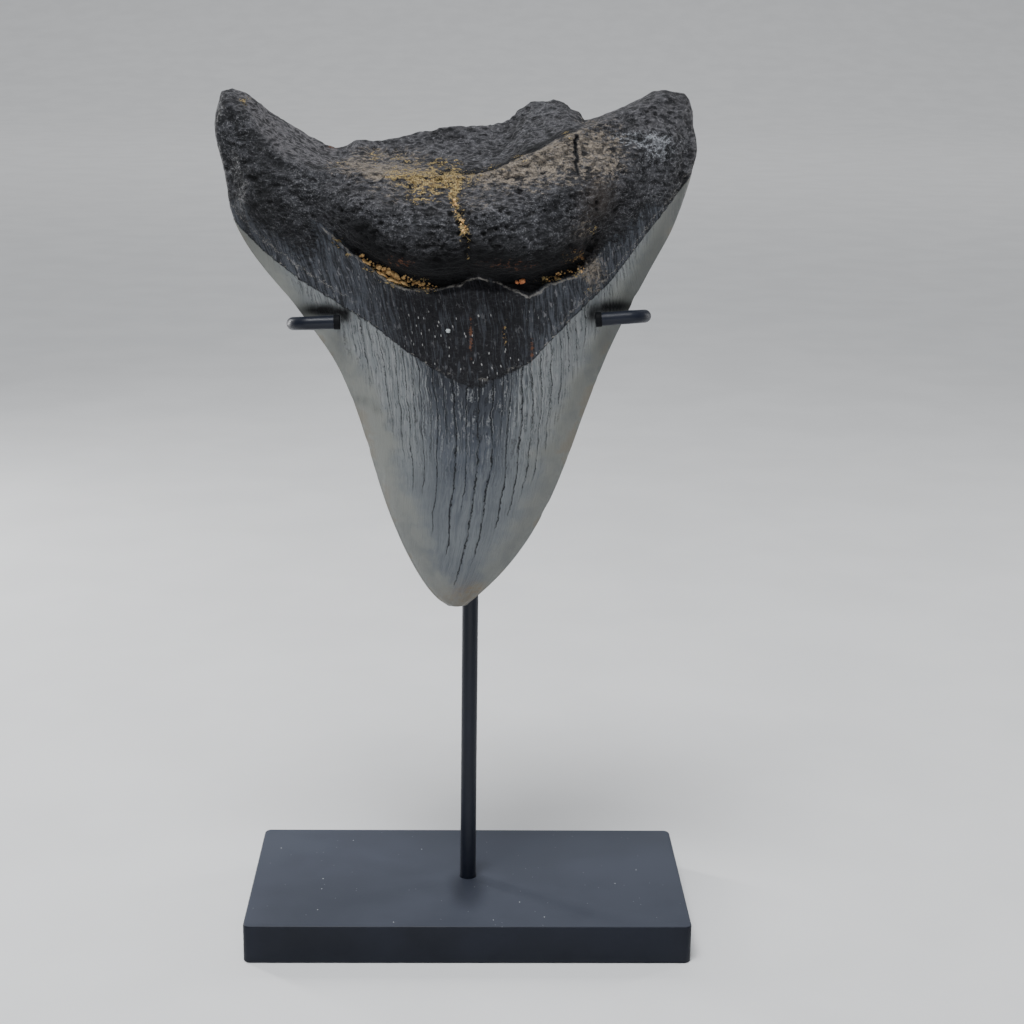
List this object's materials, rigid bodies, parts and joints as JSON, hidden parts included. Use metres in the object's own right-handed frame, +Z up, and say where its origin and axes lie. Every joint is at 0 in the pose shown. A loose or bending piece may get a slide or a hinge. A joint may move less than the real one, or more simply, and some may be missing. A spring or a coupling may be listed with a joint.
{
  "type": "fossil shark tooth on display stand",
  "caption": "Large fossil shark tooth hanging point down in the bent wire arms of a small painted steel display stand.",
  "frame": {"origin": "centre of the base's underside", "axes": "+X to the viewer's right, +Y from the tooth's display face to the post behind it, +Z up"},
  "size_m": [0.1144, 0.055, 0.2088],
  "materials": {
    "painted_steel": "satin blue-black paint",
    "fossil": "matte dark fossil root and satin grey enamel with fine cracks"
  },
  "bodies": {
    "root": {"base": "painted_steel", "post": "painted_steel", "left_arm": "painted_steel", "right_arm": "painted_steel", "tooth": "fossil"}
  },
  "joints": []
}
